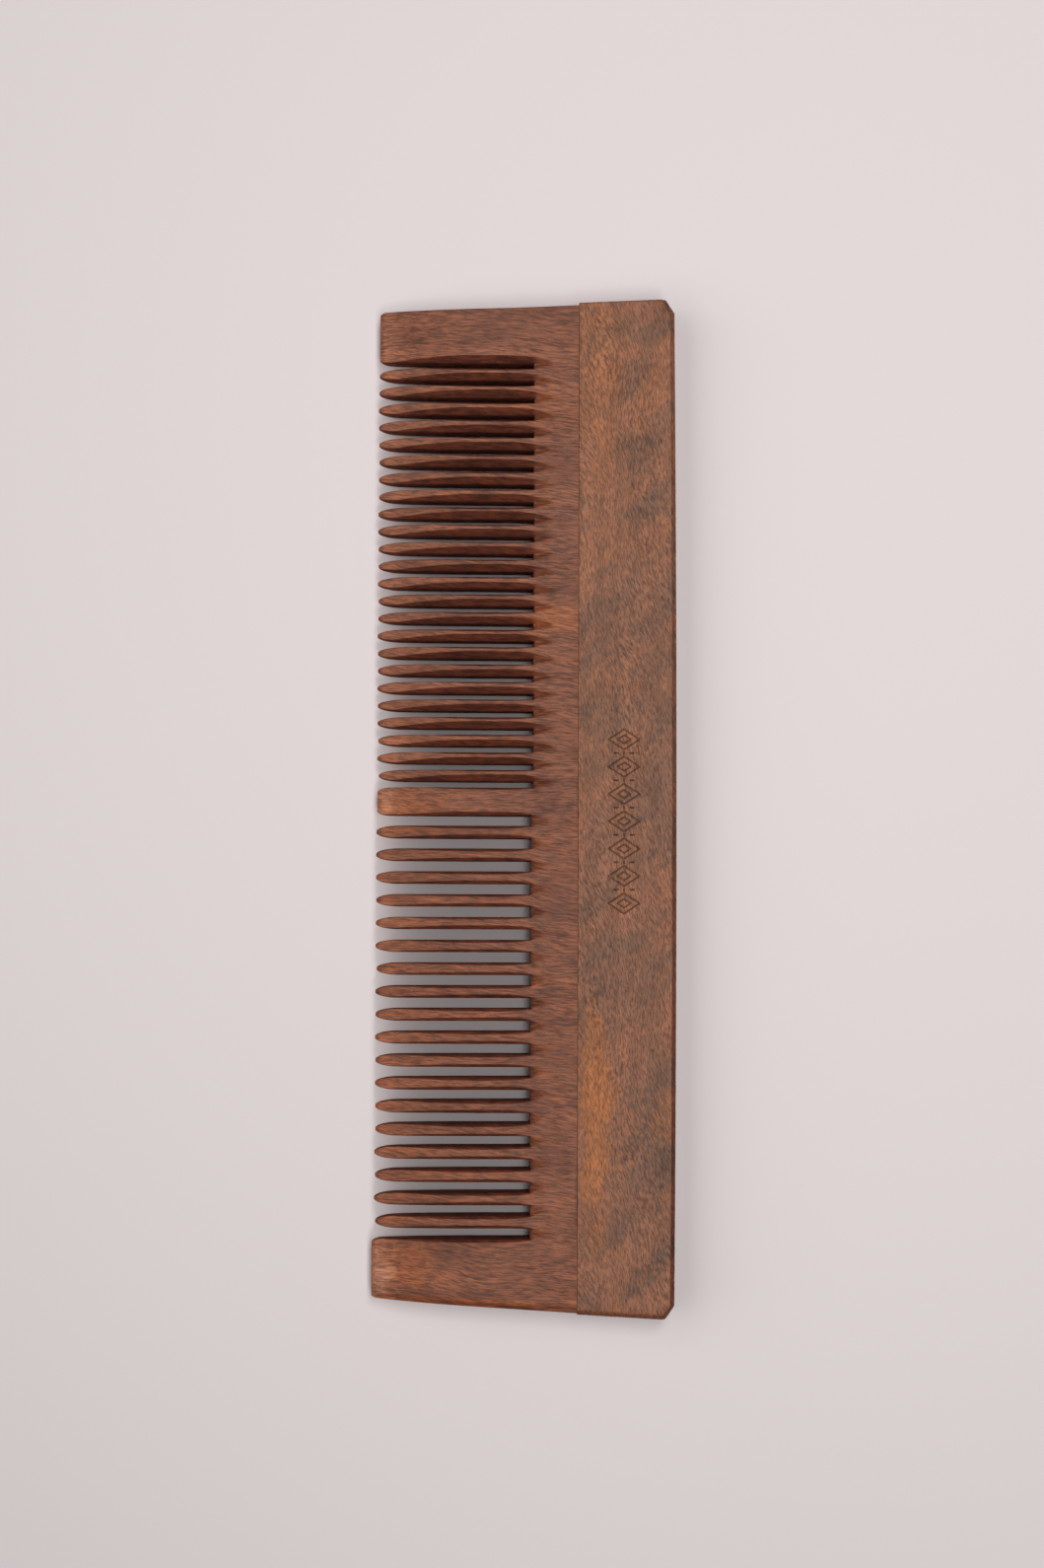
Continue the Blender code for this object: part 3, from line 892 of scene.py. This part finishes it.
def figured(build, colour, place):
    """The faint nested arches of the grain, about a point towards the spine's wide end."""
    turned = build.turned(place, FIGURE_TURN)
    mapped = build.node("ShaderNodeMapping", {"Scale": FIGURE_SCALE, "Location": FIGURE_PLACE},
                        {"Vector": turned})
    ripple = {"Scale": 1.0, "Distortion": 5.0, "Detail": 3.0, "Detail Scale": 1.2}
    rings = build.node("ShaderNodeTexWave", ripple, {"Vector": mapped.outputs[0]},
                       wave_type="RINGS", rings_direction="Z")
    tone = build.ranged(rings.outputs[1], 0.0, 1.0, 1.0 - FIGURE_DEPTH, 1.0 + FIGURE_DEPTH)
    return build.shaded(colour, tone)


def finish_wood(build, colour, dark):
    """Satin on the faces, dull in the pores and on the sawn walls."""
    roughness = build.ranged(dark, 0.45, 0.68, *FACE_ROUGHNESS)
    walls = build.ranged(build.lean(0), 0.6, 0.95, 0.0, WALL_ROUGHNESS)
    roughness = build.node("ShaderNodeMath", {}, {0: roughness, 1: walls}, operation="ADD",
                           use_clamp=True).outputs[0]
    height = build.ranged(dark, 0.52, 0.68, 1.0, 0.0)
    return build.finish(colour, roughness, height, WOOD_BUMP)


def board_material():
    build = Nodes("board_wood")
    colour, pores = wood_colour(build, 1, BOARD_TONES, BOARD_DARK, BOARD_WARM, BOARD_GRAIN)
    place = build.place()
    gullet = JOINT_Y + GULLET_START
    past_joint = build.axis(place, 1)
    # Painted shade and reddish bounce on the facets and walls, weaker inside the rail
    in_teeth = build.ranged(past_joint, gullet - 0.2, gullet + 0.9, RAIL_SHADE_SHARE, 1.0)
    colour = painted_lean_shade(build, colour, 0, in_teeth)
    # Painted shade at half strength on surfaces that face along the teeth, near the tips
    near_tips = build.ranged(past_joint, gullet + 12.0, gullet + 16.0, 0.0, 0.5)
    colour = painted_lean_shade(build, colour, 1, near_tips)
    towards_wide = build.ranged(build.axis(place, 0), -60.0, 70.0, 1.0, 0.0)
    colour = build.mixed(towards_wide, colour, build.mixed(1.0, colour, WIDE_END_TINT, "MULTIPLY"))
    # Painted sheen: the tips' faces get lighter
    tip_start = JOINT_Y + TIP_SHEEN_SPAN[0]
    tips = build.ranged(past_joint, tip_start, tip_start + TIP_SHEEN_SPAN[1])
    tips = build.times(tips, build.ranged(build.lean(0), *TIP_FACE_LEAN, 1.0, 0.0))
    colour = build.mixed(tips, colour, build.mixed(1.0, colour, TIP_SHEEN_TINT, "MULTIPLY"))
    # Paler, greyer patches at three tips
    ragged = build.ranged(build.stretched(place, (2.5, 2.5, 2.5)).outputs[0], 0.3, 0.7, -0.3, 0.3)
    for x, y, length, width, strength in PALE_TIP_PATCHES:
        share = build.times(build.patch(place, (x, y), (length, width), ragged), strength)
        colour = build.mixed(share, colour, build.mixed(1.0, colour, PALE_TIP_TINT, "MULTIPLY"))
    return finish_wood(build, colour, pores)


def spine_material():
    build = Nodes("spine_wood")
    colour, pores = wood_colour(build, 0, SPINE_TONES, DARK_CLOUDS_AND_CHAMFER_SHADE, WARM_CLOUDS, SPINE_GRAIN)
    place = build.place()
    at_back = build.ranged(build.axis(place, 1), JOINT_Y - 2.0, JOINT_Y - 1.0, 1.0, 0.0)
    # Painted shade on the back chamfer, stronger towards the wide end
    chamfer_shade_towards_wide = build.ranged(build.axis(place, 0), -60.0, 60.0, 1.0, 0.35)
    colour = painted_lean_shade(build, colour, 1, build.times(at_back, chamfer_shade_towards_wide))
    # Painted shade on the spine's ends
    colour = painted_lean_shade(build, colour, 0, 1.0)
    colour = figured(build, colour, place)
    towards_wide = build.ranged(build.axis(place, 0), -80.0, 30.0, 1.0, 0.0)
    colour = build.mixed(towards_wide, colour, build.mixed(1.0, colour, SPINE_END_TINT, "MULTIPLY"))
    # The engraved lines' burn, and the darker line along the back chamfer's crease
    burn_and_crease = build.node("ShaderNodeAttribute", attribute_name="burn_and_crease").outputs["Fac"]
    colour = build.mixed(build.times(burn_and_crease, BURN_AND_CREASE_STRENGTH), colour, GROOVE_TONE)
    return finish_wood(build, colour, pores)


def glue_material():
    build = Nodes("glue_line")
    place = build.place()
    spots = build.stretched(place, (0.8, 2.0, 2.0), (1.0, 4.0, 2.0), 3.0, 0.7).outputs[0]
    colour = build.mixed(build.ranged(spots, 0.50, 0.66), *GLUE_TONES)
    ragged = build.ranged(spots, 0.3, 0.7, -0.4, 0.4)
    for x, length, strength in GLUE_STAINS:
        share = build.times(build.patch(place, (x, JOINT_Y), (length, 1.0), ragged), strength)
        colour = build.mixed(share, colour, GLUE_STAIN_TONE)
    return build.finish(colour, build.ranged(spots, 0.3, 0.7, *GLUE_ROUGHNESS), spots, GLUE_BUMP)


# ---------------------------------------------------------------- floor, light and camera

FLOOR_RADIUS = 0.66
BACKDROP_RADIUS = 3.0        # both in metres
BACKDROP_COLOUR = (0.66, 0.60, 0.60, 1.0)
FLOOR_COLOUR = (0.79, 0.716, 0.716)
FLOOR_LIGHT_SLOPE = (0.00046, -0.00058, 0.0)    # painted light: the floor's brightness slopes across it, per millimetre
FLOOR_LIGHT_FALLOFF = 2.2e-6                       # and painted light falloff, per square millimetre from the middle
FLOOR_LIMITS = (0.7, 1.2)    # and never beyond these
FLOOR_ROUGHNESS = 0.95
FLOOR_SPECULAR = 0.1
CAMERA_PLACE = (-23.65, 17.63, 503.81)
CAMERA_TARGET = (3.66, 0.69, 8.8)
CAMERA_ROLL = math.radians(0.19)
CAMERA_LENS = 61.13

# Soft boxes facing down: (name, middle x, middle y, height, length, width, power), in metres and watts
LIGHTS = (
    ("overhead_strip", -0.018, -0.117, 1.15, 1.166, 0.23, 10.0),
    ("side_bank", 0.024, 2.365, 1.0, 1.90, 3.98, 31.0),
)
AMBIENT = 0.038


def make_floor():
    build = Nodes("floor_cloth")
    place = build.place()
    # Painted light: the floor's colour falls off from the middle and slopes across it, as the lamps' light
    # does
    slope = build.node("ShaderNodeVectorMath", {1: FLOOR_LIGHT_SLOPE}, {0: place}, operation="DOT_PRODUCT")
    square = build.node("ShaderNodeVectorMath", {}, {0: place, 1: place}, operation="DOT_PRODUCT")
    fall = build.node("ShaderNodeMath", {1: -FLOOR_LIGHT_FALLOFF, 2: 1.0}, {0: square.outputs["Value"]},
                      operation="MULTIPLY_ADD").outputs[0]
    tone = build.node("ShaderNodeMath", {}, {0: fall, 1: slope.outputs["Value"]}, operation="ADD").outputs[0]
    darkest, palest = FLOOR_LIMITS
    tone = build.node("ShaderNodeClamp", {"Min": darkest, "Max": palest}, {"Value": tone}).outputs[0]
    colour = build.shaded(rgb(*FLOOR_COLOUR), tone)
    build.tree.links.new(colour, build.shader.inputs["Base Color"])
    build.shader.inputs["Roughness"].default_value = FLOOR_ROUGHNESS
    build.shader.inputs["Specular IOR Level"].default_value = FLOOR_SPECULAR
    bm = bmesh.new()
    bmesh.ops.create_circle(bm, cap_ends=True, segments=96, radius=FLOOR_RADIUS)
    add_stage("floor", bm, build.material)


def make_backdrop():
    """A pale dome that only the camera sees, so the light on the comb stays the lamps' own."""
    build = Nodes("backdrop_paper")
    build.shader.inputs["Base Color"].default_value = (0.0, 0.0, 0.0, 1.0)
    build.shader.inputs["Emission Color"].default_value = BACKDROP_COLOUR
    build.shader.inputs["Emission Strength"].default_value = 1.0
    bm = bmesh.new()
    bmesh.ops.create_uvsphere(bm, u_segments=64, v_segments=32, radius=BACKDROP_RADIUS)
    dome = add_stage("backdrop", bm, build.material)
    dome.visible_diffuse = dome.visible_glossy = dome.visible_transmission = dome.visible_shadow = False


def add_stage(name, bm, material):
    mesh = bpy.data.meshes.new(name)
    bm.to_mesh(mesh)
    bm.free()
    mesh.materials.append(material)
    stage = bpy.data.objects.new(name, mesh)
    bpy.context.scene.collection.objects.link(stage)
    return stage


def aim(thing, place, target, roll=0.0):
    """Points an object's -Z at a target, with +X of the comb up in its view."""
    back = (Vector(place) - Vector(target)).normalized()
    right = Vector((1.0, 0.0, 0.0)).cross(back).normalized()
    up = back.cross(right)
    turn = Matrix((right, up, back)).transposed() @ Matrix.Rotation(roll, 3, "Z")
    thing.matrix_world = Matrix.Translation(Vector(place)) @ turn.to_4x4()


def make_lights():
    for name, x, y, height, length, width, power in LIGHTS:
        light = bpy.data.lights.new(name, "AREA")
        light.shape = "RECTANGLE"
        light.size, light.size_y, light.energy = length, width, power
        lamp = bpy.data.objects.new(name, light)
        lamp.location = (x, y, height)
        lamp.visible_camera = False
        bpy.context.scene.collection.objects.link(lamp)
    world = bpy.data.worlds.new("studio")
    world.use_nodes = True
    world.node_tree.nodes["Background"].inputs["Color"].default_value = (1.0, 1.0, 1.0, 1.0)
    world.node_tree.nodes["Background"].inputs["Strength"].default_value = AMBIENT
    bpy.context.scene.world = world


def make_camera():
    data = bpy.data.cameras.new("camera")
    data.lens = CAMERA_LENS
    data.clip_start = 0.01
    camera = bpy.data.objects.new("camera", data)
    bpy.context.scene.collection.objects.link(camera)
    aim(camera, [part * MM for part in CAMERA_PLACE], [part * MM for part in CAMERA_TARGET], CAMERA_ROLL)
    bpy.context.scene.camera = camera


make_board(board_material())
make_spine(spine_material())
make_glue(glue_material())
make_floor()
make_backdrop()
make_lights()
make_camera()
bpy.context.scene.view_settings.view_transform = "Standard"
